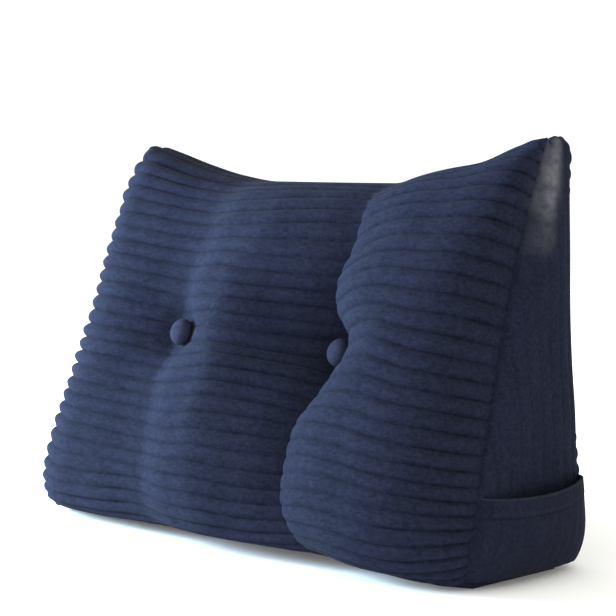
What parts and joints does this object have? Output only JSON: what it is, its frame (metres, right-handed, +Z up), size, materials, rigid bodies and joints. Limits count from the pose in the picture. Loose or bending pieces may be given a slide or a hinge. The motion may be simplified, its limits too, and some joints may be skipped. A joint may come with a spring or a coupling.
{
  "type": "wedge pillow",
  "caption": "Ribbed navy wedge pillow with a slanted, button-tufted front of three puffy lobes, a flat base, raised top corners and a patch pocket on one side.",
  "frame": {"origin": "centre of the flat base, at the level of the surface it stands on", "axes": "+X across the width, to the right of someone facing the slanted front, where the pocket is; -Y out of the slanted front; +Z up"},
  "size_m": [0.7912, 0.2936, 0.5029],
  "materials": {
    "cushion_cloth": "wide-rib napped cloth, navy",
    "button_cloth": "napped cloth, navy",
    "pocket_cloth": "wide-rib napped cloth, navy"
  },
  "bodies": {
    "root": {"cushion_body": "cushion_cloth", "button_left": "button_cloth", "button_right": "button_cloth", "side_pocket": "pocket_cloth"}
  },
  "joints": []
}
